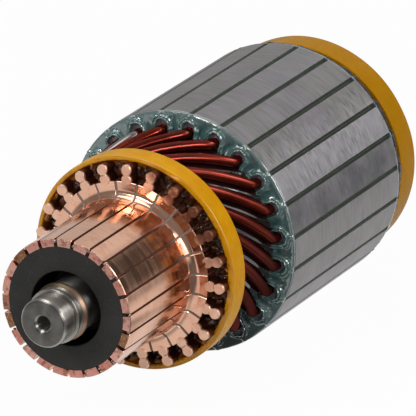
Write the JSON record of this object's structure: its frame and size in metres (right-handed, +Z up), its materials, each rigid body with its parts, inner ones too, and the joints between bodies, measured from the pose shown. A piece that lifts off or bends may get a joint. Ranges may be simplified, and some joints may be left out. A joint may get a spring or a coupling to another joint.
{
  "type": "motor armature",
  "caption": "Wound rotor of a small direct-current motor: slotted steel core on a shaft, hairpin copper winding, copper commutator with risers, and resin bands.",
  "frame": {"origin": "middle of the commutator-end journal, on the shaft's axis", "axes": "+Y along the shaft from the commutator end to the drive end, +Z up, +X to the right as seen from the commutator end"},
  "size_m": [0.06, 0.1494, 0.06],
  "materials": {
    "turned_steel": "turned and ground bare steel",
    "core_steel": "turned outside of a pack of electrical steel sheets, fine marks round the core",
    "green_epoxy": "glossy teal-green fused epoxy",
    "black_moulding": "matt black thermosetting moulding",
    "tinted_steel": "bare steel with a light gold heat tint",
    "amber_resin": "amber glass-fibre and resin band, smooth and slightly waxy",
    "varnished_sheet": "dark insulating sheet soaked in glossy varnish",
    "enamelled_copper": "copper wire in clear red-brown enamel, bare at the welded ends",
    "bare_copper": "turned and polished bare copper"
  },
  "bodies": {
    "root": {"coil_01": "enamelled_copper", "coil_02": "enamelled_copper", "coil_03": "enamelled_copper", "coil_04": "enamelled_copper", "coil_05": "enamelled_copper", "coil_06": "enamelled_copper", "coil_07": "enamelled_copper", "coil_08": "enamelled_copper", "coil_09": "enamelled_copper", "coil_10": "enamelled_copper", "coil_11": "enamelled_copper", "coil_12": "enamelled_copper", "coil_13": "enamelled_copper", "coil_14": "enamelled_copper", "coil_15": "enamelled_copper", "coil_16": "enamelled_copper", "coil_17": "enamelled_copper", "coil_18": "enamelled_copper", "coil_19": "enamelled_copper", "coil_20": "enamelled_copper", "coil_21": "enamelled_copper", "coil_22": "enamelled_copper", "coil_23": "enamelled_copper", "commutator_bar_01": "bare_copper", "commutator_bar_02": "bare_copper", "commutator_bar_03": "bare_copper", "commutator_bar_04": "bare_copper", "commutator_bar_05": "bare_copper", "commutator_bar_06": "bare_copper", "commutator_bar_07": "bare_copper", "commutator_bar_08": "bare_copper", "commutator_bar_09": "bare_copper", "commutator_bar_10": "bare_copper", "commutator_bar_11": "bare_copper", "commutator_bar_12": "bare_copper", "commutator_bar_13": "bare_copper", "commutator_bar_14": "bare_copper", "commutator_bar_15": "bare_copper", "commutator_bar_16": "bare_copper", "commutator_bar_17": "bare_copper", "commutator_bar_18": "bare_copper", "commutator_bar_19": "bare_copper", "commutator_bar_20": "bare_copper", "commutator_bar_21": "bare_copper", "commutator_bar_22": "bare_copper", "commutator_bar_23": "bare_copper", "commutator_bush": "turned_steel", "commutator_moulding": "black_moulding", "core_coating": "green_epoxy", "front_band": "amber_resin", "front_layer_insulation": "varnished_sheet", "lamination_core": "core_steel", "locking_collar": "tinted_steel", "rear_band": "amber_resin", "rear_layer_insulation": "varnished_sheet", "shaft": "turned_steel"}
  },
  "joints": []
}
